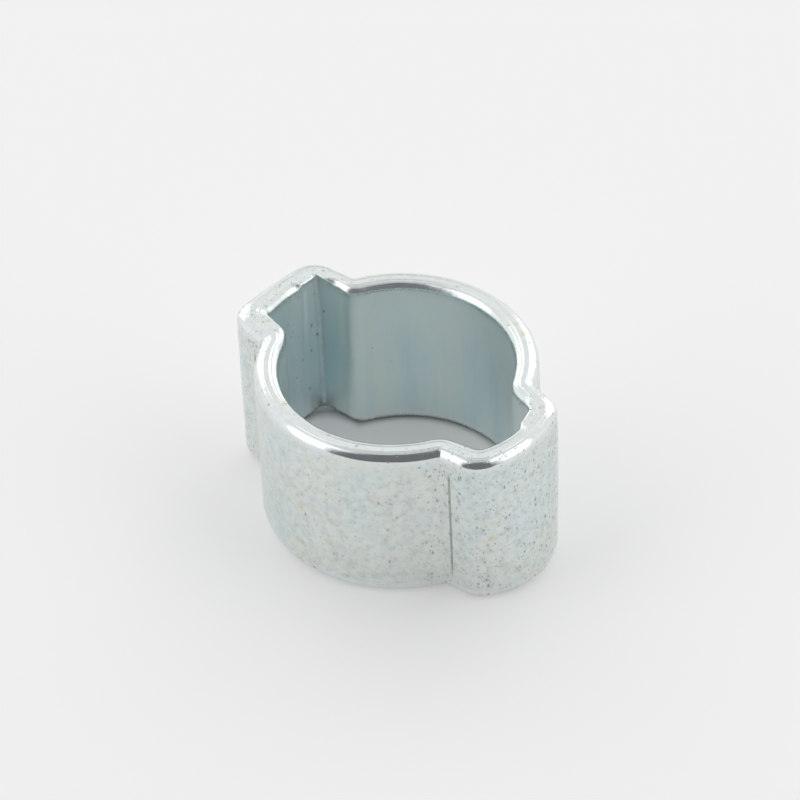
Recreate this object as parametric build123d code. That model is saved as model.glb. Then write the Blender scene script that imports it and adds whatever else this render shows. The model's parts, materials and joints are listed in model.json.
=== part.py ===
from build123d import *
import os
from math import atan2, cos, sqrt, tan

# Two-ear hose clip in millimetres: a seamless steel ring with two opposite pinch ears.
# It stands on its lower rim. Its bore is along Z, and its ears point along +X and -X.

# The open clip slips over the hose with this bore.
bore_diameter = 11.0
# Thickness of the tube that the clip is cut from.
wall = 1.15
# Width of the clip's band, from rim to rim.
band_width = 8.5

# How far each ear's hollow rises above the bore, at the middle of its crown.
front_ear_height = 1.8
back_ear_height = 1.8
# Gap between an ear's two sides where they meet the bore, and where they meet its crown.
front_ear_foot_gap = 4.4
back_ear_foot_gap = 4.15
front_ear_crown_gap = 3.8
back_ear_crown_gap = 3.55
# The crowns are bowed outwards: the front one is round and the back one nearly flat.
front_crown_radius = 5.0
back_crown_radius = 40.0
# Inner corners between an ear's sides and its crown.
front_corner_radius = 0.4
back_corner_radius = 0.22

# The crease that the band makes with an ear's side, on the outside of the clip.
crease_radius = 0.15
# Tumbling has rounded the rims, more on the outside than on the inside.
outer_rim_radius = 0.44
inner_rim_radius = 0.38


def ear_plan(height, foot_gap, crown_gap, crown_radius, growth):
    """Plan of an ear that points along +X, within its inner face or as far out as growth."""
    reach = bore_diameter / 2 + height
    crown_x = reach - crown_radius
    foot_x = sqrt((bore_diameter / 2) ** 2 - (foot_gap / 2) ** 2)
    corner_x = crown_x + sqrt(crown_radius**2 - (crown_gap / 2) ** 2)
    lean = atan2((foot_gap - crown_gap) / 2, corner_x - foot_x)
    root_y = foot_gap / 2 + foot_x * tan(lean) + growth / cos(lean)
    # The sides run on past the crown, which then cuts them to length.
    tip_x = reach + wall
    tip_y = root_y - tip_x * tan(lean)
    sides = Polyline((0, root_y), (tip_x, tip_y), (tip_x, -tip_y), (0, -root_y), close=True)
    crown = Pos(crown_x, 0) * Circle(crown_radius + growth)
    return make_face(sides) & crown


def clip_plan(growth):
    """Plan within the clip's inner face, or within its outer face if growth is the wall."""
    front = ear_plan(
        front_ear_height, front_ear_foot_gap, front_ear_crown_gap, front_crown_radius, growth
    )
    back = ear_plan(
        back_ear_height, back_ear_foot_gap, back_ear_crown_gap, back_crown_radius, growth
    )
    plan = Circle(bore_diameter / 2 + growth) + front + mirror(back, Plane.YZ)
    feet = plan.vertices().sort_by_distance((0, 0, 0))[:4]
    plan = fillet(feet, wall + crease_radius - growth)
    front_corners = plan.vertices().sort_by(Axis.X)[-2:]
    plan = fillet(front_corners, front_corner_radius + growth)
    back_corners = plan.vertices().sort_by(Axis.X)[:2]
    return fillet(back_corners, back_corner_radius + growth)


def hose_clip():
    """The clip: its band and ears are one wall of even thickness, with rounded rims."""
    clip = extrude(clip_plan(wall) - clip_plan(0), band_width)
    rims = clip.faces().filter_by(Plane.XY)
    outer_edges = [edge for rim in rims for edge in rim.outer_wire().edges()]
    clip = fillet(outer_edges, outer_rim_radius)
    rims = clip.faces().filter_by(Plane.XY)
    inner_edges = [edge for rim in rims for edge in rim.inner_wires()[0].edges()]
    return fillet(inner_edges, inner_rim_radius).solid()


os.makedirs("parts", exist_ok=True)
clip = hose_clip()
clip.label = "hose_clip"
export_step(clip, "parts/hose_clip.step")
size = clip.bounding_box().size
print(f"hose_clip {clip.volume:.1f} mm3, {size.X:.2f} by {size.Y:.2f} by {size.Z:.2f} mm")
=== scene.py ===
import json
import random
from math import asin, atan2, cos, exp, pi, radians, sin, sqrt, tan

import bpy
from mathutils import Matrix, Vector, kdtree, noise


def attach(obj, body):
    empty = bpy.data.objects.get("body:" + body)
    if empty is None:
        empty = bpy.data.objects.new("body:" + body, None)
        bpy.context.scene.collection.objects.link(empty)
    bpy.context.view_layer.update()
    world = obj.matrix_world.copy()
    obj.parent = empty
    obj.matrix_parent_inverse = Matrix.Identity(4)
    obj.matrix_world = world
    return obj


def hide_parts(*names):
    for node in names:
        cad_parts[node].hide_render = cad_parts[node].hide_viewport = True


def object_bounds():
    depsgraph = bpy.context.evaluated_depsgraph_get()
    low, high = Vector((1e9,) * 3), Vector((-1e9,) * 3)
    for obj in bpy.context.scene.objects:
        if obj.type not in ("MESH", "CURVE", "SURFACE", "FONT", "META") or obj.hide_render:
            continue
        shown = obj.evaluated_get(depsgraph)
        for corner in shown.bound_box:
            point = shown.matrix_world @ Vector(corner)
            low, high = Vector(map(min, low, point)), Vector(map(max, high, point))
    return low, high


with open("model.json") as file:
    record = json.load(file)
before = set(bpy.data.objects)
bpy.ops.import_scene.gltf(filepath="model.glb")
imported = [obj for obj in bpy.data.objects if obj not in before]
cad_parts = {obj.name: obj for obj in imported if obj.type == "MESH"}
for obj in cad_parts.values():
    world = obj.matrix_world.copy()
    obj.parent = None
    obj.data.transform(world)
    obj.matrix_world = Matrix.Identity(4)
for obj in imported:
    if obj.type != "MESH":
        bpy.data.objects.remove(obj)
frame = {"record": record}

bl_info = {
    "name": "Hose Clip",
    "version": (1, 0, 0),
    "blender": (4, 5, 0),
    "location": "3D View > Sidebar > Hose Clip",
    "description": "Builds a zinc plated two-ear hose clip that stands on a pale floor",
    "category": "Object",
}

MM = 0.001
CAD_BOX = [list(corner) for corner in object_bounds()]

# The clip's main sizes come from the frame: its bore, and its box in plan and height.
BORE_RADIUS = frame["record"]["mounts"][0]["dims"]["r_mm"] * MM
BAND_WIDTH = CAD_BOX[1][2]
WALL = round(CAD_BOX[1][1] - BORE_RADIUS, 5)
EAR_HEIGHT = round(CAD_BOX[1][0] - WALL - BORE_RADIUS, 5)


def linear(hex_colour):
    """Turns an sRGB hex colour such as 'C8D0CF' into linear red, green and blue."""
    channels = [int(hex_colour[i : i + 2], 16) / 255 for i in (0, 2, 4)]
    return [c / 12.92 if c <= 0.04045 else ((c + 0.055) / 1.055) ** 2.4 for c in channels]


def length_setting(name, description, default_mm):
    """A length that a user would change, given in millimetres."""
    return bpy.props.FloatProperty(
        name=name, description=description, default=default_mm * MM, unit="LENGTH"
    )


def colour_setting(name, description, hex_colour):
    """A colour that a user would change, given in sRGB hex."""
    return bpy.props.FloatVectorProperty(
        name=name, description=description, default=linear(hex_colour), subtype="COLOR"
    )


class ClipSettings(bpy.types.PropertyGroup):
    """Sizes and colours of the clip."""

    front_foot_gap: length_setting("Front foot gap", "Gap where the front ear leaves the bore", 4.4)
    back_foot_gap: length_setting("Back foot gap", "Gap where the back ear leaves the bore", 4.15)
    front_crown_gap: length_setting("Front crown gap", "Width of the front ear's crown, inside", 3.8)
    back_crown_gap: length_setting("Back crown gap", "Width of the back ear's crown, inside", 3.55)
    front_crown_radius: length_setting("Front crown radius", "Bow of the front ear's crown", 5.0)
    back_crown_radius: length_setting("Back crown radius", "Bow of the back ear's crown", 40.0)
    front_corner_radius: length_setting("Front corner radius", "Front ear's inner corners", 0.4)
    back_corner_radius: length_setting("Back corner radius", "Back ear's inner corners", 0.22)
    crease_radius: length_setting("Crease radius", "Outer crease at the foot of each ear", 0.15)
    outer_rim_radius: length_setting("Outer rim radius", "Tumbled outer edge of the rims", 0.44)
    inner_rim_radius: length_setting("Inner rim radius", "Tumbled inner edge of the rims", 0.38)
    floor_colour: colour_setting("Floor", "Pale studio floor", "D3D3D2")


def deselect_all():
    """Leaves nothing selected, so that an operator acts on the new piece alone."""
    bpy.ops.object.select_all(action="DESELECT")


class OutlinePen:
    """Draws a piece's outline in edit mode as a run of arcs and straight stretches."""

    def __init__(self, start, heading):
        bpy.ops.mesh.primitive_plane_add(size=MM, location=(0, 0, 0))
        bpy.ops.object.mode_set(mode="EDIT")
        bpy.ops.mesh.select_all(action="SELECT")
        bpy.ops.mesh.merge(type="CENTER")
        bpy.ops.transform.translate(value=start)
        self.place = Vector(start)
        self.heading = heading

    def arc(self, radius, turn, step):
        """Turns left by an angle, or right if it is negative, in pieces about a step long."""
        side = 1 if turn > 0 else -1
        to_centre = Vector((-sin(self.heading), cos(self.heading), 0)) * radius * side
        centre = self.place + to_centre
        steps = max(2, round(abs(turn) * radius / step))
        # With no window, a spin about -Z turns anticlockwise seen from above.
        bpy.ops.mesh.spin(steps=steps, angle=turn, center=centre, axis=(0, 0, -1))
        self.place = centre + Matrix.Rotation(turn, 3, "Z") @ (self.place - centre)
        self.heading += turn

    def line(self, length, step):
        """Goes straight on for a length, in pieces about a step long."""
        steps = max(1, round(length / step))
        stride = Vector((cos(self.heading), sin(self.heading), 0)) * length / steps
        for _ in range(steps):
            bpy.ops.mesh.extrude_region_move(TRANSFORM_OT_translate={"value": stride})
        self.place += stride * steps


# How far out along an ear's side the fold lies that the dies left outside.
FOLD_REACH = 0.4 * MM


class EarShape:
    """Turns and lengths of one ear's inner face, worked out from its gaps and radii."""

    def __init__(self, foot_gap, crown_gap, crown_radius, corner_radius, crease_radius):
        crown_x = BORE_RADIUS + EAR_HEIGHT - crown_radius
        foot_x = sqrt(BORE_RADIUS**2 - (foot_gap / 2) ** 2)
        corner_x = crown_x + sqrt(crown_radius**2 - (crown_gap / 2) ** 2)
        lean = atan2((foot_gap - crown_gap) / 2, corner_x - foot_x)
        side_line = foot_x * sin(lean) + foot_gap / 2 * cos(lean)
        self.foot_radius = WALL + crease_radius
        foot = asin((side_line + self.foot_radius) / (BORE_RADIUS + self.foot_radius))
        drop = side_line - corner_radius - crown_x * sin(lean)
        corner = asin(drop / (crown_radius - corner_radius))
        self.corner_radius = corner_radius
        self.crown_radius = crown_radius
        self.corner = Vector((corner_x, crown_gap / 2))
        fold_x = (BORE_RADIUS + self.foot_radius) * cos(foot - lean) + FOLD_REACH
        fold_y = (side_line + WALL - fold_x * sin(lean)) / cos(lean)
        self.fold = Vector((fold_x, fold_y, 0))
        self.foot_angle = foot - lean
        self.foot_turn = pi / 2 - foot
        self.corner_turn = pi / 2 - corner
        self.crown_turn = corner - lean
        corner_reach = crown_x * cos(lean) + (crown_radius - corner_radius) * cos(corner)
        self.side_length = corner_reach - (BORE_RADIUS + self.foot_radius) * cos(foot)


# Distance between the mesh's lines along the outline. The ears' inner corners have them
# closer, because the wall's outer face spreads them out again.
OUTLINE_STEP = 0.13 * MM
CORNER_STEP = 0.022 * MM
WALL_ROWS = 58
RIM_SEGMENTS = 8
RIM_LANES = 4


def draw_half_outline(front, back):
    """Draws the inner face's outline from the front crown's middle to the back one's."""
    pen = OutlinePen((BORE_RADIUS + EAR_HEIGHT, 0, 0), pi / 2)
    pen.arc(front.crown_radius, front.crown_turn, OUTLINE_STEP)
    pen.arc(front.corner_radius, front.corner_turn, CORNER_STEP)
    pen.line(front.side_length, OUTLINE_STEP)
    pen.arc(front.foot_radius, -front.foot_turn, OUTLINE_STEP)
    pen.arc(BORE_RADIUS, pi - front.foot_angle - back.foot_angle, OUTLINE_STEP)
    pen.arc(back.foot_radius, -back.foot_turn, OUTLINE_STEP)
    pen.line(back.side_length, OUTLINE_STEP)
    pen.arc(back.corner_radius, back.corner_turn, CORNER_STEP)
    pen.arc(back.crown_radius, back.crown_turn, OUTLINE_STEP)


def apply_modifier(piece, kind, **settings):
    """Adds a modifier with these settings and applies it."""
    modifier = piece.modifiers.new(kind.title(), kind)
    for name, value in settings.items():
        setattr(modifier, name, value)
    bpy.ops.object.modifier_apply(modifier=modifier.name)


def weight_of(vertex, group):
    """A vertex's weight in a group, which is 0 outside it."""
    return next((g.weight for g in vertex.groups if g.group == group.index), 0.0)


def select_edges(piece, wanted):
    """In edit mode, selects only the edges whose two vertices pass the wanted test."""
    bpy.ops.mesh.select_mode(type="EDGE")
    bpy.ops.mesh.select_all(action="DESELECT")
    bpy.ops.object.mode_set(mode="OBJECT")
    vertices = piece.data.vertices
    for edge in piece.data.edges:
        edge.select = wanted(*(vertices[i] for i in edge.vertices))
    bpy.ops.object.mode_set(mode="EDIT")


def round_rims(clip, inside, settings):
    """Rounds the rims' edges: the outer ones, then the inner ones."""
    slack = 0.01 * MM

    def rim_edge(a, b, on_outside):
        flat = abs(a.co.z - b.co.z) < slack
        at_rim = min(a.co.z, BAND_WIDTH - a.co.z) < slack
        sides = {weight_of(a, inside) < 0.5, weight_of(b, inside) < 0.5}
        return flat and at_rim and sides == {on_outside}

    for on_outside, radius in (
        (True, settings.outer_rim_radius),
        (False, settings.inner_rim_radius),
    ):
        select_edges(clip, lambda a, b: rim_edge(a, b, on_outside))
        bpy.ops.mesh.bevel(offset=radius, segments=RIM_SEGMENTS, profile=0.5, clamp_overlap=False)


def divide_walls(clip):
    """Divides the walls into rows and the flat of the rims into lanes."""
    half_wall = BAND_WIDTH / 2
    select_edges(clip, lambda a, b: abs(a.co.z - b.co.z) > half_wall)
    bpy.ops.mesh.subdivide(number_cuts=WALL_ROWS - 1)
    slack = 0.001 * MM
    widest = 0.3 * MM

    def across_rim(a, b):
        at_rim = max(min(v.co.z, BAND_WIDTH - v.co.z) for v in (a, b)) < slack
        return at_rim and (a.co - b.co).length > widest

    select_edges(clip, across_rim)
    bpy.ops.mesh.subdivide(number_cuts=RIM_LANES - 1)


def ear_shapes(settings):
    """The front and the back ear, as the settings have them."""
    return [
        EarShape(
            getattr(settings, f"{place}_foot_gap"),
            getattr(settings, f"{place}_crown_gap"),
            getattr(settings, f"{place}_crown_radius"),
            getattr(settings, f"{place}_corner_radius"),
            settings.crease_radius,
        )
        for place in ("front", "back")
    ]


def model_clip(ears, settings):
    """Models the clip: an outline drawn by spins, raised, thickened and rounded."""
    deselect_all()
    draw_half_outline(*ears)
    clip = bpy.context.object
    clip.name = clip.data.name = "zinc_clip"
    bpy.ops.mesh.select_all(action="SELECT")
    upwards = {"value": (0, 0, BAND_WIDTH)}
    bpy.ops.mesh.extrude_region_move(TRANSFORM_OT_translate=upwards)
    bpy.ops.object.mode_set(mode="OBJECT")
    apply_modifier(clip, "MIRROR", use_axis=(False, True, False), merge_threshold=0.005 * MM)
    bpy.ops.object.mode_set(mode="EDIT")
    bpy.ops.mesh.select_all(action="SELECT")
    bpy.ops.mesh.normals_make_consistent(inside=False)
    bpy.ops.object.mode_set(mode="OBJECT")
    inside = clip.vertex_groups.new(name="inner_wall")
    apply_modifier(
        clip,
        "SOLIDIFY",
        thickness=WALL,
        offset=1,
        use_even_offset=True,
        shell_vertex_group=inside.name,
    )
    bpy.ops.object.mode_set(mode="EDIT")
    round_rims(clip, clip.vertex_groups["inner_wall"], settings)
    divide_walls(clip)
    bpy.ops.object.mode_set(mode="OBJECT")
    bpy.ops.object.shade_smooth()
    return clip


def smooth_step(low, high, value):
    """0 below low, 1 above high and a soft change between them."""
    share = min(max((value - low) / (high - low), 0.0), 1.0)
    return share * share * (3 - 2 * share)


# Depths of the marks that the press and tumbling left all over, or inside, or at the rims.
SWELL_DEPTH = 0.012 * MM
RIPPLE_DEPTH = 0.004 * MM
DRAWN_DEPTH = 0.005 * MM
RIM_DEPTH = 0.014 * MM
# How far from the end of the band the rim's unevenness is full, and where it ends.
RIM_MARKS = (0.3 * MM, 1.2 * MM)
# Scores inside the back ear. They begin this far across it and deepen over a short way.
SCORE_DEPTH = 0.045 * MM
SCORE_START = 0.62 * MM
SCORE_FADE = 0.25 * MM
# Beyond the same line the punches have kept both ears' inner rims sharp: share of the rounding.
SHARP_SHARE = 0.3
SHARP_FADE = 0.1 * MM
# Fold on the ears' sides, and the darkening in their inner corners, which is partly dirt and partly
# painted shade.
FOLD_DEPTH = 0.03 * MM
FOLD_WIDTH = 0.05 * MM
CORNER_WIDTH = 0.16 * MM
CORNER_DIRT_AND_SHADE = 0.5
# Dents from tumbling: radius and depth.
NICK_COUNT = 60
NICK_SEED = 7
NICK_RADII = (0.25 * MM, 0.5 * MM)
NICK_DEPTHS = (0.006 * MM, 0.016 * MM)
# Where along X the inner faces of the ears begin to follow their punches, and follow in full.
BACK_PUNCH_RANGE = (4.8 * MM, 6.2 * MM)
FRONT_PUNCH_RANGE = (5.4 * MM, 7.0 * MM)
# The punch that pressed the back ear stood a little to one side and not quite far enough out.
BACK_PUNCH_SHIFT = Vector((0.08, 0.2, 0)) * MM
# Its near corner was cut back further.
BACK_CORNER_SHIFT = Vector((0.12, 0.13, 0)) * MM
# The one that pressed the front ear was a little narrower than its crown, and its far corner
# is less deep.
FRONT_PUNCH_SHARE = 0.93
FRONT_CORNER_SHIFT = 0.1 * MM
# The front ear's crown is bowed further out towards its foot, from this height down.
LOW_BOW = 0.25 * MM
BOW_TOP = 6.0 * MM
# How much of the bow its far corner loses. Above 1 the corner is rounded off.
BOW_LOSS = 1.6


def surface_marks(vertex, inner_share):
    """How far the press and the tumbling have moved a point along its normal."""
    place = vertex.co / MM
    depth = noise.noise(place * 0.4) * SWELL_DEPTH * (1 - 0.5 * inner_share)
    depth += noise.noise(place * 1.4) * RIPPLE_DEPTH
    along = Vector((place.x * 3.0, place.y * 3.0, place.z * 0.1))
    drawn = noise.noise(along) + 0.5 * noise.noise(along * 2.4)
    depth += drawn * DRAWN_DEPTH * inner_share
    to_rim = min(vertex.co.z, BAND_WIDTH - vertex.co.z)
    at_rim = 1 - smooth_step(*RIM_MARKS, to_rim)
    depth += noise.noise(place * 0.9 + Vector((5, 0, 0))) * RIM_DEPTH * at_rim
    return depth


def punch_scores(vertex, inner_share):
    """Upright scores that the punch has left inside the back ear, near its far corner."""
    at_crown = smooth_step(BORE_RADIUS + 1.3 * MM, BORE_RADIUS + 1.6 * MM, -vertex.co.x)
    across = smooth_step(SCORE_START, SCORE_START + SCORE_FADE, vertex.co.y)
    height = vertex.co.z / BAND_WIDTH
    along = 0.3 + 0.7 * smooth_step(0.4, 0.75, height) + 0.5 * smooth_step(0.3, 0.1, height)
    place = vertex.co / MM
    scores = noise.noise(Vector((place.y * 4.5, 3.0, place.z * 0.2)))
    scores += 0.6 * noise.noise(Vector((place.y * 11.0, 9.0, place.z * 0.35)))
    return scores * SCORE_DEPTH * at_crown * across * along * inner_share


def shift_punches(clip, inner):
    """Moves the ears' inner faces to where the punches stood."""
    for vertex, share in zip(clip.data.vertices, inner):
        into_back = smooth_step(*BACK_PUNCH_RANGE, -vertex.co.x) * share
        vertex.co += BACK_PUNCH_SHIFT * into_back
        near_corner = into_back * smooth_step(0.3 * MM, -1.4 * MM, vertex.co.y)
        vertex.co += BACK_CORNER_SHIFT * near_corner
        into_front = smooth_step(*FRONT_PUNCH_RANGE, vertex.co.x) * share
        vertex.co.y *= 1 - (1 - FRONT_PUNCH_SHARE) * into_front
        far_corner = into_front * smooth_step(0.0, 1.6 * MM, vertex.co.y)
        vertex.co.x -= FRONT_CORNER_SHIFT * far_corner


def sharpen_rims(clip, inner, settings):
    """Keeps the rounding of the upper inner rim off the scored part of both ears."""
    vertices = clip.data.vertices
    radius = settings.inner_rim_radius
    # The inner face's outline, from the row of points nearest to half the band's height.
    half_way = BAND_WIDTH / 2
    half_row = half_way / WALL_ROWS * 1.1
    columns = [
        v.co.copy()
        for v, share in zip(vertices, inner)
        if share > 0.99 and abs(v.co.z - half_way) < half_row
    ]
    feet = kdtree.KDTree(len(columns))
    for index, place in enumerate(columns):
        feet.insert(Vector((place.x, place.y, 0)), index)
    feet.balance()
    for vertex, share in zip(vertices, inner):
        below_rim = BAND_WIDTH - vertex.co.z
        if share < 0.6 or below_rim > radius:
            continue
        foot, _, into_wall = feet.find(Vector((vertex.co.x, vertex.co.y, 0)))
        if into_wall > radius * 1.02:
            continue
        sharp = smooth_step(SCORE_START, SCORE_START + SHARP_FADE, foot.y)
        sharp *= smooth_step(6.1 * MM, 6.9 * MM, abs(foot.x))
        keep = 1 - (1 - SHARP_SHARE) * sharp
        edge = Vector((foot.x, foot.y, BAND_WIDTH))
        vertex.co = edge + (vertex.co - edge) * keep


def bow_front_crown(clip):
    """Bows the front crown further out towards its foot, and rounds off its far corner there."""
    for vertex in clip.data.vertices:
        low = smooth_step(BOW_TOP, 0.0, vertex.co.z)
        on_crown = smooth_step(6.0 * MM, 7.3 * MM, vertex.co.x)
        across = smooth_step(-2.8 * MM, -0.6 * MM, vertex.co.y)
        across *= 1 - BOW_LOSS * smooth_step(0.4 * MM, 2.9 * MM, vertex.co.y)
        vertex.co.x += LOW_BOW * low * on_crown * across


def corner_dirt_and_shade(clip, ears, inner):
    """How dark each point of the ears' inner corners is: partly dirt that the punches have left,
    partly painted shade.
    """
    corners = [
        Vector((side * ear.corner.x, turn * ear.corner.y))
        for ear, side in zip(ears, (1, -1))
        for turn in (1, -1)
    ]
    dirt_and_shade = []
    for vertex, share in zip(clip.data.vertices, inner):
        gap = min((vertex.co.xy - corner).length for corner in corners)
        dirt_and_shade.append(CORNER_DIRT_AND_SHADE * exp(-((gap / CORNER_WIDTH) ** 2)) * share)
    return dirt_and_shade


def nicks():
    """Small dents from tumbling, spread over the outside: place, radius and depth."""
    chance = random.Random(NICK_SEED)
    for _ in range(NICK_COUNT):
        turn = chance.uniform(0, 2 * pi)
        reach = BORE_RADIUS + WALL
        stretch = 1 + 0.25 * abs(cos(turn)) ** 4
        height = chance.uniform(0, BAND_WIDTH)
        place = Vector((reach * stretch * cos(turn), reach * sin(turn), height))
        yield place, chance.uniform(*NICK_RADII), chance.uniform(*NICK_DEPTHS)


def mark_surface(clip, ears, settings):
    """Moves the points of the wall by all its marks, and stores where inside is and where dirt and
    painted shade are.
    """
    mesh = clip.data
    group = clip.vertex_groups["inner_wall"]
    inner = [weight_of(v, group) for v in mesh.vertices]
    dirt_and_shade = corner_dirt_and_shade(clip, ears, inner)
    sharpen_rims(clip, inner, settings)
    shift_punches(clip, inner)
    bow_front_crown(clip)
    mesh.update()
    normals = [v.normal.copy() for v in mesh.vertices]
    dents = list(nicks())
    for vertex, normal, share in zip(mesh.vertices, normals, inner):
        depth = surface_marks(vertex, share) + punch_scores(vertex, share)
        if share < 0.5:
            for place, radius, deep in dents:
                far = (vertex.co - place).length / radius
                if far < 1:
                    depth -= deep * (1 - far * far) ** 2
        vertex.co += normal * depth
    for name, values in (("inside", inner), ("dirt_and_shade", dirt_and_shade)):
        attribute = mesh.attributes.new(name=name, type="FLOAT", domain="POINT")
        attribute.data.foreach_set("value", values)


def add_node(tree, kind, links=(), stops=(), inputs=(), **settings):
    """Adds a node with its settings, its input values, its ramp's stops and its links."""
    node = tree.nodes.new(kind)
    for name, value in settings.items():
        setattr(node, name, value)
    for key, value in dict(inputs).items():
        node.inputs[key].default_value = value
    for key, output in dict(links).items():
        tree.links.new(output, node.inputs[key])
    if stops:
        ramp = node.color_ramp.elements
        while len(ramp) < len(stops):
            ramp.new(0.5)
        for element, (position, hex_colour) in zip(ramp, stops):
            element.position = position
            element.color = (*linear(hex_colour), 1)
    return node


def split_terms(terms):
    """A node's links, for the terms that are other nodes' outputs, and its plain values."""
    links = {i: term for i, term in enumerate(terms) if isinstance(term, bpy.types.NodeSocket)}
    return links, {i: term for i, term in enumerate(terms) if i not in links}


def calc(tree, operation, *terms):
    """Output of a math node. Each term is a number or another node's output."""
    links, values = split_terms(terms)
    node = add_node(tree, "ShaderNodeMath", links, inputs=values, operation=operation)
    return node.outputs[0]


def vector_calc(tree, operation, *terms):
    """Output of a vector math node, which for a length or a dot product is a number."""
    links, values = split_terms(terms)
    node = add_node(tree, "ShaderNodeVectorMath", links, inputs=values, operation=operation)
    return node.outputs["Value" if operation in ("LENGTH", "DOT_PRODUCT") else "Vector"]


def fade(tree, value, low, high, at_low=0.0, at_high=1.0, kind="SMOOTHSTEP"):
    """Output that goes from at_low to at_high while the value goes from low to high."""
    return add_node(
        tree, "ShaderNodeMapRange", {0: value}, interpolation_type=kind,
        inputs={1: low, 2: high, 3: at_low, 4: at_high},
    ).outputs[0]


def per_mm(size):
    """Scale of a pattern whose grains are this many millimetres apart."""
    return 1 / (size * MM)


def clouds(tree, place, size, detail, roughness=0.5, distortion=0.0):
    """Output of a cloudy pattern whose grains are this many millimetres apart."""
    return add_node(
        tree, "ShaderNodeTexNoise", {"Vector": place},
        inputs={
            "Scale": per_mm(size),
            "Detail": detail,
            "Roughness": roughness,
            "Distortion": distortion,
        },
    ).outputs["Fac"]


def cells(tree, place, size):
    """Node of a pattern of cells that are this many millimetres apart."""
    return add_node(
        tree, "ShaderNodeTexVoronoi", {"Vector": place},
        inputs={"Scale": per_mm(size), "Randomness": 1.0},
    )


def drawn_out(tree, place, share):
    """Coordinates in which patterns are drawn out upright. A smaller share is further."""
    mapping = add_node(tree, "ShaderNodeMapping", {0: place}, inputs={3: (1.0, 1.0, share)})
    return mapping.outputs[0]


def ramp(tree, value, stops):
    """Output of a colour ramp with these stops."""
    return add_node(tree, "ShaderNodeValToRGB", {0: value}, stops=stops).outputs[0]


def blend(tree, share, colour, other, blend_type="MIX"):
    """Mixes a colour with a share of another, which is sRGB hex or another node's output."""
    links, inputs = {0: share, 6: colour}, {}
    if isinstance(other, str):
        inputs[7] = (*linear(other), 1)
    else:
        links[7] = other
    return add_node(
        tree, "ShaderNodeMix", links, inputs=inputs, data_type="RGBA", blend_type=blend_type
    ).outputs[2]


def bump(tree, height, depth, below=None, invert=False):
    """Normal of a relief this deep, on top of the one below it. Depth may be an output."""
    links, inputs = {"Height": height}, {"Strength": 1.0}
    if below is not None:
        links["Normal"] = below
    target = links if isinstance(depth, bpy.types.NodeSocket) else inputs
    target["Distance"] = depth
    return add_node(tree, "ShaderNodeBump", links, inputs=inputs, invert=invert).outputs[0]


def new_material(name):
    """An empty node material and its shader, linked to the output."""
    material = bpy.data.materials.new(name)
    material.use_nodes = True
    tree = material.node_tree
    tree.nodes.clear()
    shader = add_node(tree, "ShaderNodeBsdfPrincipled")
    add_node(tree, "ShaderNodeOutputMaterial", {0: shader.outputs[0]})
    return material, tree, shader


# Colours of the plate: its film outside, and inside, where it is partly painted light, the painted
# light towards the upper rim inside, the stains and the bloom that darken it, the polished rims,
# the pits, the yellow stain, and the grey of dirt and painted shade.
FILM = ((0.3, "E0E9EA"), (0.42, "E1EBE9"), (0.5, "E5EBE7"), (0.58, "E4E8E4"), (0.7, "DFE8E9"))
# Inside, the film is bluer; part of its colour is painted light that lifts the shaded inside.
INNER_FILM_AND_LIGHT = ((0.32, "CFE2E8"), (0.5, "DCEDEF"), (0.68, "E6F1ED"))
# Painted light: the lighter colour that the inside takes towards the upper rim.
PAINTED_TOP_LIGHT = "F2F9F8"
STAINS = ((0.32, "EFEFEE"), (0.5, "FAFAFA"), (0.68, "FFFFFF"))
BLOOM = ((0.32, "EDEDEC"), (0.46, "FCFCFC"), (0.56, "FFFFFF"))
CLEAN_RIM = "E6EAE9"
PIT_GREY = "6E6A62"
YELLOW_STAIN = "CFC79A"
# Grey of dirt and painted shade in the folds and the ears' inner corners.
DIRT_AND_SHADE_GREY = "6C7274"
# Share of the stains and pits that is left inside, and how far the polish cleans the rims.
INSIDE_SHARE = 0.06
CLEAN_SHARE = 0.65
# Distance from the end of the band at which the polish begins, and at which it is full.
RIM_POLISH = (0.8 * MM, 0.35 * MM)
# Pits in mm: how far apart they are and their radius. The ears have more than the band.
LARGE_PITS = (0.3, 0.05)
SMALL_PITS = (0.16, 0.03)
PIT_DARKNESS = 0.6
PITTED_EARS = (4.6 * MM, 6.2 * MM)
BAND_PITS, EAR_PITS = 0.1, 0.8
# Roughness of the walls and the polished rims, and what adds to it.
WALL_ROUGHNESS, RIM_ROUGHNESS = 0.26, 0.11
MOTTLE_ROUGHNESS = 0.07
INSIDE_ROUGHNESS = 0.13
DIRT_ROUGHNESS = 0.2
PIT_ROUGHNESS = 0.3
# Depths of the relief that is too fine for the mesh.
GRAIN_DEPTH = 0.0035 * MM
LINE_DEPTH = 0.006 * MM
CUT_DEPTH = 0.007 * MM
RIDGE_DEPTH = 0.016 * MM
PIT_DEPTH = 0.007 * MM
# A ridge's width and its distance from the outer and from the inner face, at the rims.
RIDGE_WIDTH = 0.06 * MM
RIDGE_OUTER, RIDGE_INNER = 0.42 * MM, 0.4 * MM
# Where each end of a fold line begins to show, and where it shows in full.
FOLD_ENDS = ((0.8 * MM, 1.8 * MM), (BAND_WIDTH - 0.8 * MM, BAND_WIDTH - 1.6 * MM))


def zinc_pits(tree, place, spacing, radius, crowding):
    """Mask of small ragged pits, given in mm. Crowding is the share of them that is there."""
    reach = radius / spacing
    pattern = cells(tree, place, spacing)
    luck = add_node(tree, "ShaderNodeSeparateColor", {0: pattern.outputs["Color"]})
    size = calc(tree, "MULTIPLY_ADD", luck.outputs[1], reach, 0.8 * reach)
    ragged = clouds(tree, place, 0.09, 2.0)
    edge = calc(tree, "MULTIPLY_ADD", ragged, 1.7 * reach, pattern.outputs["Distance"])
    hollow = fade(tree, calc(tree, "DIVIDE", edge, size), 1.8, 0.5)
    present = calc(tree, "LESS_THAN", luck.outputs[0], crowding)
    return calc(tree, "MULTIPLY", hollow, present)


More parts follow.
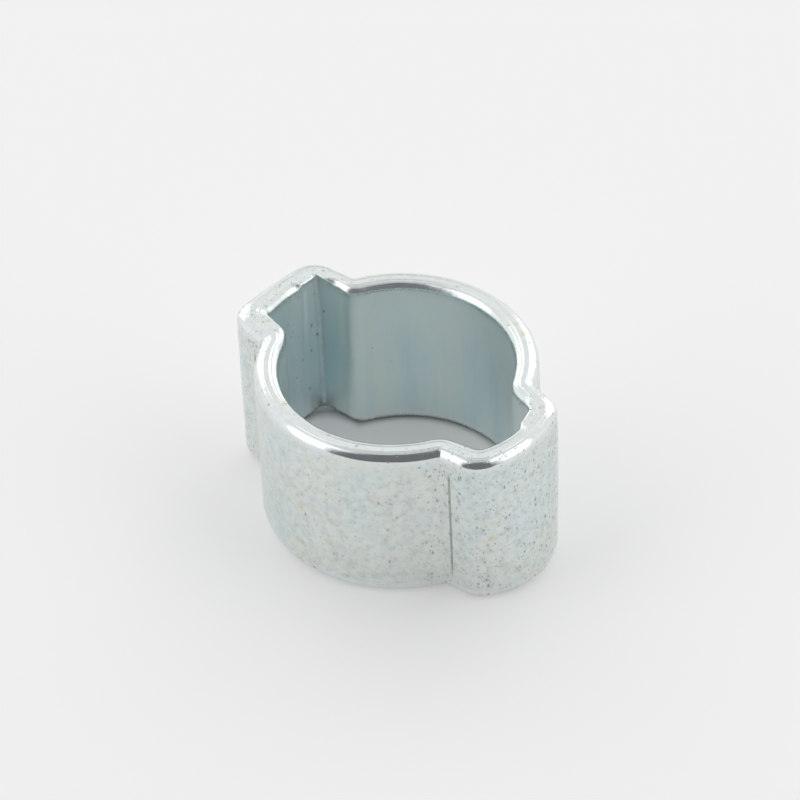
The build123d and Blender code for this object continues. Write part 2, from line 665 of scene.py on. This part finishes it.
def all_pits(tree, place, axes, patches, outside):
    """Mask of the large and the small pits, in patches, crowded on the ears."""
    out_along = calc(tree, "ABSOLUTE", axes.outputs[0])
    crowding = fade(tree, out_along, *PITTED_EARS, BAND_PITS, EAR_PITS)
    for share in (patches, 2.0, outside):
        crowding = calc(tree, "MULTIPLY", crowding, share)
    upright = drawn_out(tree, place, 0.65)
    large = zinc_pits(tree, upright, *LARGE_PITS, crowding)
    small = zinc_pits(tree, upright, *SMALL_PITS, crowding)
    return calc(tree, "MAXIMUM", large, small)


def yellow_specks(tree, place, patches, outside):
    """Mask of a few specks of passivation stain."""
    pattern = cells(tree, place, 0.8)
    luck = add_node(tree, "ShaderNodeSeparateColor", {0: pattern.outputs["Color"]})
    rare = calc(tree, "MULTIPLY", luck.outputs[0], patches)
    rare = calc(tree, "GREATER_THAN", rare, 0.45)
    speck = fade(tree, pattern.outputs["Distance"], 0.3, 0.1, 0.0, 0.45)
    return calc(tree, "MULTIPLY", calc(tree, "MULTIPLY", speck, rare), outside)


def fold_lines(tree, place, axes, ears):
    """Mask of the upright fold on each side of both ears, which fades towards the rims."""
    front, back = ears
    in_front = calc(tree, "GREATER_THAN", axes.outputs[0], 0.0)
    line = add_node(
        tree, "ShaderNodeMix", {0: in_front}, data_type="VECTOR",
        inputs={4: back.fold, 5: front.fold},
    )
    # All four folds lie in one place once the signs of X and Y are left off.
    away = vector_calc(tree, "SUBTRACT", vector_calc(tree, "ABSOLUTE", place), line.outputs[1])
    away = vector_calc(tree, "MULTIPLY", away, (1, 1, 0))
    fold = fade(tree, vector_calc(tree, "LENGTH", away), FOLD_WIDTH * 2, 0.0)
    for start, end in FOLD_ENDS:
        fold = calc(tree, "MULTIPLY", fold, fade(tree, axes.outputs[2], start, end))
    return fold


def film_colour(tree, place, height, within):
    """The passivation's colour: it drifts over a few millimetres, and is bluer inside, where it also
    holds painted light.
    """
    film = ramp(tree, clouds(tree, place, 3.2, 2.5, 0.55, distortion=0.4), FILM)
    # Inside, the colour is bluer, in upright bands: partly the film's own tint, partly painted light
    # that makes up for light bouncing round inside the bore.
    inner_film_and_light = ramp(tree, clouds(tree, drawn_out(tree, place, 0.12), 1.7, 4.0), INNER_FILM_AND_LIGHT)
    # Painted light: the inside is painted lighter towards the upper rim, where more light from the
    # surroundings reaches in.
    lit_towards_rim = fade(tree, height, 0.4 * BAND_WIDTH, 0.95 * BAND_WIDTH, 0.0, 0.75)
    inner_film_and_light = blend(tree, lit_towards_rim, inner_film_and_light, PAINTED_TOP_LIGHT)
    return blend(tree, within, film, inner_film_and_light)


def plated_relief(tree, place, inside, within, grain):
    """Normal of the plating grain, the drawn and cut lines and the ridges of the rims."""
    lines = clouds(tree, drawn_out(tree, place, 0.05), 0.17, 3.0, 0.65)
    relief = add_node(tree, "ShaderNodeMix", {0: inside, 2: grain, 3: lines}).outputs[0]
    deep = fade(tree, within, 0.0, 1.0, GRAIN_DEPTH, LINE_DEPTH, kind="LINEAR")
    normal = bump(tree, relief, deep)
    # Lines that run round the rims, where the tube was cut: they lie across the wall's thickness.
    across = add_node(
        tree, "ShaderNodeCombineXYZ", {2: calc(tree, "MULTIPLY", inside, WALL)}
    ).outputs[0]
    round_rim = vector_calc(tree, "MULTIPLY", place, (0.02, 0.02, 0.0))
    cut = clouds(tree, vector_calc(tree, "ADD", across, round_rim), 0.11, 1.0)
    normal = bump(tree, cut, CUT_DEPTH, normal)
    # A fine ridge along either side of the flat, where the rounding by tumbling ends.
    for share in (1 - RIDGE_INNER / WALL, RIDGE_OUTER / WALL):
        gap = calc(tree, "ABSOLUTE", calc(tree, "SUBTRACT", inside, share))
        normal = bump(tree, fade(tree, gap, RIDGE_WIDTH / WALL, 0.0), RIDGE_DEPTH, normal)
    return normal


def zinc_plate(ears):
    """Bright zinc plate with clear passivation, on tumbled mild steel.

    The passivation is a film thin enough to show faint bands of colour. Tumbling before the
    plating leaves the rims like a mirror and the walls half glossy, and the pickling has left
    small dark pits, most of them on the ears. Inside, the wall keeps its drawn lines and is bluer,
    and its colour there holds painted light, more of it towards the upper rim.
    """
    material, tree, shader = new_material("Zinc plate, clear passivated")
    shader.inputs["Metallic"].default_value = 1.0
    place = add_node(tree, "ShaderNodeTexCoord").outputs["Object"]
    axes = add_node(tree, "ShaderNodeSeparateXYZ", {0: place})
    height = axes.outputs[2]
    inside = add_node(tree, "ShaderNodeAttribute", attribute_name="inside").outputs["Fac"]
    dirt_and_shade = add_node(tree, "ShaderNodeAttribute", attribute_name="dirt_and_shade").outputs["Fac"]
    within = fade(tree, inside, 0.85, 1.0, kind="LINEAR")
    outside = fade(tree, within, 0.0, 1.0, 1.0, INSIDE_SHARE, kind="LINEAR")
    mottle = clouds(tree, place, 0.45, 4.0, 0.65)
    grain = clouds(tree, place, 0.3, 3.0, 0.6)
    patches = clouds(tree, place, 2.0, 1.0)

    # Stains and bloom, up to half a millimetre across. They and the pits are on the outside,
    # because the punches have wiped the inside clean.
    colour = film_colour(tree, place, height, within)
    for shade in (ramp(tree, mottle, STAINS), ramp(tree, grain, BLOOM)):
        colour = blend(tree, outside, colour, shade, blend_type="MULTIPLY")

    # The rims are polished and clean.
    from_middle = calc(tree, "ABSOLUTE", calc(tree, "SUBTRACT", height, BAND_WIDTH / 2))
    starts, full = (BAND_WIDTH / 2 - gap for gap in RIM_POLISH)
    at_rim = fade(tree, from_middle, starts, full)
    colour = blend(tree, calc(tree, "MULTIPLY", at_rim, CLEAN_SHARE), colour, CLEAN_RIM)

    pits = all_pits(tree, place, axes, patches, outside)
    colour = blend(tree, calc(tree, "MULTIPLY", pits, PIT_DARKNESS), colour, PIT_GREY)
    speck = yellow_specks(tree, place, patches, outside)
    colour = blend(tree, speck, colour, YELLOW_STAIN)

    # The folds and the ears' inner corners are darkened, here more and there less: partly dirt,
    # partly painted shade.
    fold = fold_lines(tree, place, axes, ears)
    soiled_and_shaded = calc(tree, "MULTIPLY", calc(tree, "ADD", fold, dirt_and_shade), mottle)
    colour = blend(tree, soiled_and_shaded, colour, DIRT_AND_SHADE_GREY)
    tree.links.new(colour, shader.inputs["Base Color"])

    # The walls are half glossy, and duller inside, where the tumbling media hardly reached.
    roughness = fade(tree, at_rim, 0.0, 1.0, WALL_ROUGHNESS, RIM_ROUGHNESS, kind="LINEAR")
    for mask, more in (
        (mottle, MOTTLE_ROUGHNESS),
        (within, INSIDE_ROUGHNESS),
        (dirt_and_shade, DIRT_ROUGHNESS),
        (pits, PIT_ROUGHNESS),
    ):
        roughness = calc(tree, "MULTIPLY_ADD", mask, more, roughness)
    tree.links.new(roughness, shader.inputs["Roughness"])

    normal = plated_relief(tree, place, inside, within, grain)
    for hollow, depth in ((pits, PIT_DEPTH), (fold, FOLD_DEPTH)):
        normal = bump(tree, hollow, depth, normal, invert=True)
    tree.links.new(normal, shader.inputs["Normal"])
    return material


# Painted light: how much the floor glows of its own, beside the light that falls on it, out in
# the open and inside the clip's bore, which shades it. Under the wall it glows not at all, a
# painted shadow of the clip, and in front of the clip the card ends.
FLOOR_GLOW = 0.3
BORE_GLOW = 0.17
FLOOR_FRONT = 45 * MM
FLOOR_SIZE = 2.0
FLOOR_ROUGHNESS = 0.5
# Past the bore's radius: where the bore's glow fades out, and where the open floor's comes in.
BORE_GLOW_END = (-0.25 * MM, 0.15 * MM)
OPEN_GLOW_START = (0.2 * MM, 0.7 * WALL)
# Over how long a way the glow's edge bends round an ear's corners.
EAR_BEND = 3 * MM


def painted_floor(settings):
    """White card, half matt. It glows to the camera and in the metal, as if lit from below: painted
    light, with painted shadow where the glow drops near the clip.
    """
    material, tree, shader = new_material("White card")
    shader.inputs["Base Color"].default_value = (*settings.floor_colour, 1)
    shader.inputs["Roughness"].default_value = FLOOR_ROUGHNESS
    rays = add_node(tree, "ShaderNodeLightPath")
    seen = rays.outputs["Is Camera Ray"]
    for kind in ("Is Glossy Ray", "Is Transmission Ray"):
        seen = calc(tree, "MAXIMUM", seen, rays.outputs[kind])
    # Distances are as if all of the inner face lay at the bore's radius, the ears' as well.
    place = add_node(tree, "ShaderNodeTexCoord").outputs["Object"]
    to_bore = (-EAR_HEIGHT, BORE_RADIUS - settings.front_foot_gap / 2, 0)
    at_ear = vector_calc(tree, "ADD", vector_calc(tree, "ABSOLUTE", place), to_bore)
    at_ear = add_node(tree, "ShaderNodeSeparateXYZ", {0: at_ear})
    at_ear = calc(tree, "SMOOTH_MAX", at_ear.outputs[0], at_ear.outputs[1], EAR_BEND)
    reach = calc(tree, "MINIMUM", vector_calc(tree, "LENGTH", place), at_ear)
    past_bore = calc(tree, "SUBTRACT", reach, BORE_RADIUS)
    # Painted shadow: the glow drops inside the bore and to none under the wall.
    in_bore = fade(tree, past_bore, *BORE_GLOW_END, BORE_GLOW, 0.0, kind="LINEAR")
    in_open = fade(tree, past_bore, *OPEN_GLOW_START, 0.0, FLOOR_GLOW, kind="LINEAR")
    glow = calc(tree, "MULTIPLY", seen, calc(tree, "MAXIMUM", in_bore, in_open))
    shader.inputs["Emission Color"].default_value = (1, 1, 1, 1)
    tree.links.new(glow, shader.inputs["Emission Strength"])
    return material


class HOSECLIP_OT_add_clip(bpy.types.Operator):
    """Models the clip's one wall and gives it its plated finish"""

    bl_idname = "hoseclip.add_clip"
    bl_label = "Add Clip"

    def execute(self, context):
        settings = context.scene.hose_clip
        ears = ear_shapes(settings)
        clip = model_clip(ears, settings)
        mark_surface(clip, ears, settings)
        clip.data.materials.append(zinc_plate(ears))
        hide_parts("hose_clip")
        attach(clip, "root")
        return {"FINISHED"}


# The camera looks down at the clip past its front ear, from a long way off.
CAMERA_AZIMUTH = radians(45.944)
CAMERA_ELEVATION = radians(41.936)
CAMERA_DISTANCE = 235.25 * MM
# Height on the bore axis of the point that the camera is aimed by.
AIM_HEIGHT = 4.15 * MM
CAMERA_ROLL = radians(-2.816)
CAMERA_PAN = radians(0.02)
CAMERA_TILT = radians(0.354)
SENSOR_WIDTH = 36.0
FRAME_PIXELS = 800
FOCAL_PIXELS = 5000


def toward(azimuth, elevation):
    """Unit vector from the clip to a place round it. Azimuth 0 is -Y and 90 degrees is +X."""
    level = cos(elevation)
    return Vector((sin(azimuth) * level, -cos(azimuth) * level, sin(elevation)))


def add_camera():
    """Adds the camera at the photograph's angle, with its slight roll."""
    centre = Vector((0, 0, AIM_HEIGHT))
    outward = toward(CAMERA_AZIMUTH, CAMERA_ELEVATION)
    ahead = -outward
    right = ahead.cross(Vector((0, 0, 1))).normalized()
    up = right.cross(ahead)
    ahead = (ahead + right * tan(CAMERA_PAN) + up * tan(CAMERA_TILT)).normalized()
    right = ahead.cross(Vector((0, 0, 1))).normalized()
    turn = Matrix.Rotation(-CAMERA_ROLL, 3, ahead)
    right = turn @ right
    up = right.cross(ahead)
    data = bpy.data.cameras.new("Camera")
    data.sensor_width = SENSOR_WIDTH
    data.lens = FOCAL_PIXELS / FRAME_PIXELS * SENSOR_WIDTH
    data.clip_start = 10 * MM
    camera = bpy.data.objects.new("Camera", data)
    axes = Matrix((right, up, -ahead)).transposed().to_4x4()
    camera.matrix_world = Matrix.Translation(centre + outward * CAMERA_DISTANCE) @ axes
    bpy.context.collection.objects.link(camera)
    bpy.context.scene.camera = camera


def add_softbox(name, azimuth, elevation, size, lean):
    """Adds a soft lamp that faces the clip. Its top leans over by an angle."""
    data = bpy.data.lights.new(name, "AREA")
    data.shape = "RECTANGLE"
    data.size, data.size_y = size
    data.energy = LAMP_RADIANCE * pi * size[0] * size[1]
    lamp = bpy.data.objects.new(name, data)
    place = toward(azimuth, elevation)
    lamp.location = place * LAMP_DISTANCE
    facing = place.to_track_quat("Z", "Y").to_matrix()
    lamp.rotation_euler = (facing @ Matrix.Rotation(lean, 3, "Z")).to_euler()
    bpy.context.collection.objects.link(lamp)


# The tent's open front, as angles from the camera's azimuth and up from the floor.
OPENING_LEFT = radians(-52)
OPENING_RIGHT = radians(47)
OPENING_TOP = radians(80)
OPENING_SOFTNESS = 0.08
# The tent from the floor up to its top, and the room beyond its opening.
TENT = ((0.0, "FBFCFC"), (0.6, "FAFBFB"), (0.85, "F2F3F3"), (1.0, "D0D2D4"))
ROOM = "76757A"


def studio_world():
    """A pale tent round the clip, open in front, where the dark room shows."""
    world = bpy.data.worlds.new("Studio")
    world.use_nodes = True
    tree = world.node_tree
    direction = add_node(tree, "ShaderNodeTexCoord").outputs["Generated"]
    # Each edge of the opening lies in a plane through the clip, with a normal into the opening.
    ahead = toward(CAMERA_AZIMUTH, 0)
    inwards = [
        toward(CAMERA_AZIMUTH + OPENING_LEFT + pi / 2, 0),
        toward(CAMERA_AZIMUTH + OPENING_RIGHT - pi / 2, 0),
        ahead * sin(OPENING_TOP) - Vector((0, 0, cos(OPENING_TOP))),
    ]
    within = [vector_calc(tree, "DOT_PRODUCT", direction, normal) for normal in inwards]
    least = calc(tree, "MINIMUM", calc(tree, "MINIMUM", within[0], within[1]), within[2])
    opening = fade(tree, least, -OPENING_SOFTNESS, OPENING_SOFTNESS)
    height = add_node(tree, "ShaderNodeSeparateXYZ", {0: direction}).outputs[2]
    tone = blend(tree, opening, ramp(tree, height, TENT), ROOM)
    tree.links.new(tone, tree.nodes["Background"].inputs[0])
    return world


# The lamps behind the tent's walls: azimuth from the camera's, elevation, lean of the top
# to the left as the lamp sees it, width and height.
LAMPS = {
    "left_softbox": (-80, 37, 19, 0.24, 0.62),
    "right_softbox": (73, 37, -21, 0.23, 0.64),
    "back_left_softbox": (-151, 24, 0, 0.2, 0.3),
    "back_right_softbox": (146, 27, 0, 0.22, 0.34),
}
LAMP_DISTANCE = 0.45
LAMP_RADIANCE = 0.5


class HOSECLIP_OT_add_stage(bpy.types.Operator):
    """Adds the floor, the soft lamps, the pale surroundings and the camera"""

    bl_idname = "hoseclip.add_stage"
    bl_label = "Add Stage"

    def execute(self, context):
        settings = context.scene.hose_clip
        deselect_all()
        bpy.ops.mesh.primitive_plane_add(size=FLOOR_SIZE, rotation=(0, 0, CAMERA_AZIMUTH))
        floor = context.object
        floor.name = floor.data.name = "floor"
        for vertex in floor.data.vertices:
            vertex.co.y = max(vertex.co.y, -FLOOR_FRONT)
        bpy.ops.object.transform_apply(location=False, rotation=True, scale=False)
        floor.data.materials.append(painted_floor(settings))
        for name, (turn, elevation, lean, *size) in LAMPS.items():
            azimuth = CAMERA_AZIMUTH + radians(turn)
            add_softbox(name, azimuth, radians(elevation), size, radians(lean))
        context.scene.world = studio_world()
        add_camera()
        context.scene.view_settings.view_transform = "Standard"
        return {"FINISHED"}


class HOSECLIP_PT_build(bpy.types.Panel):
    """Lists the clip, its stage and their settings"""

    bl_idname = "HOSECLIP_PT_build"
    bl_label = "Hose Clip"
    bl_space_type = "VIEW_3D"
    bl_region_type = "UI"
    bl_category = "Hose Clip"

    def draw(self, context):
        for name in ClipSettings.__annotations__:
            self.layout.prop(context.scene.hose_clip, name)
        for operator in (HOSECLIP_OT_add_clip, HOSECLIP_OT_add_stage):
            self.layout.operator(operator.bl_idname)


CLASSES = (ClipSettings, HOSECLIP_OT_add_clip, HOSECLIP_OT_add_stage, HOSECLIP_PT_build)


def register():
    """Registers the settings, the operators and the panel."""
    for cls in CLASSES:
        bpy.utils.register_class(cls)
    bpy.types.Scene.hose_clip = bpy.props.PointerProperty(type=ClipSettings)


def unregister():
    """Takes the settings, the operators and the panel away again."""
    del bpy.types.Scene.hose_clip
    for cls in reversed(CLASSES):
        bpy.utils.unregister_class(cls)


def main():
    """Builds the clip and its stage."""
    register()
    bpy.ops.hoseclip.add_clip()
    bpy.ops.hoseclip.add_stage()


if __name__ == "__main__":
    main()
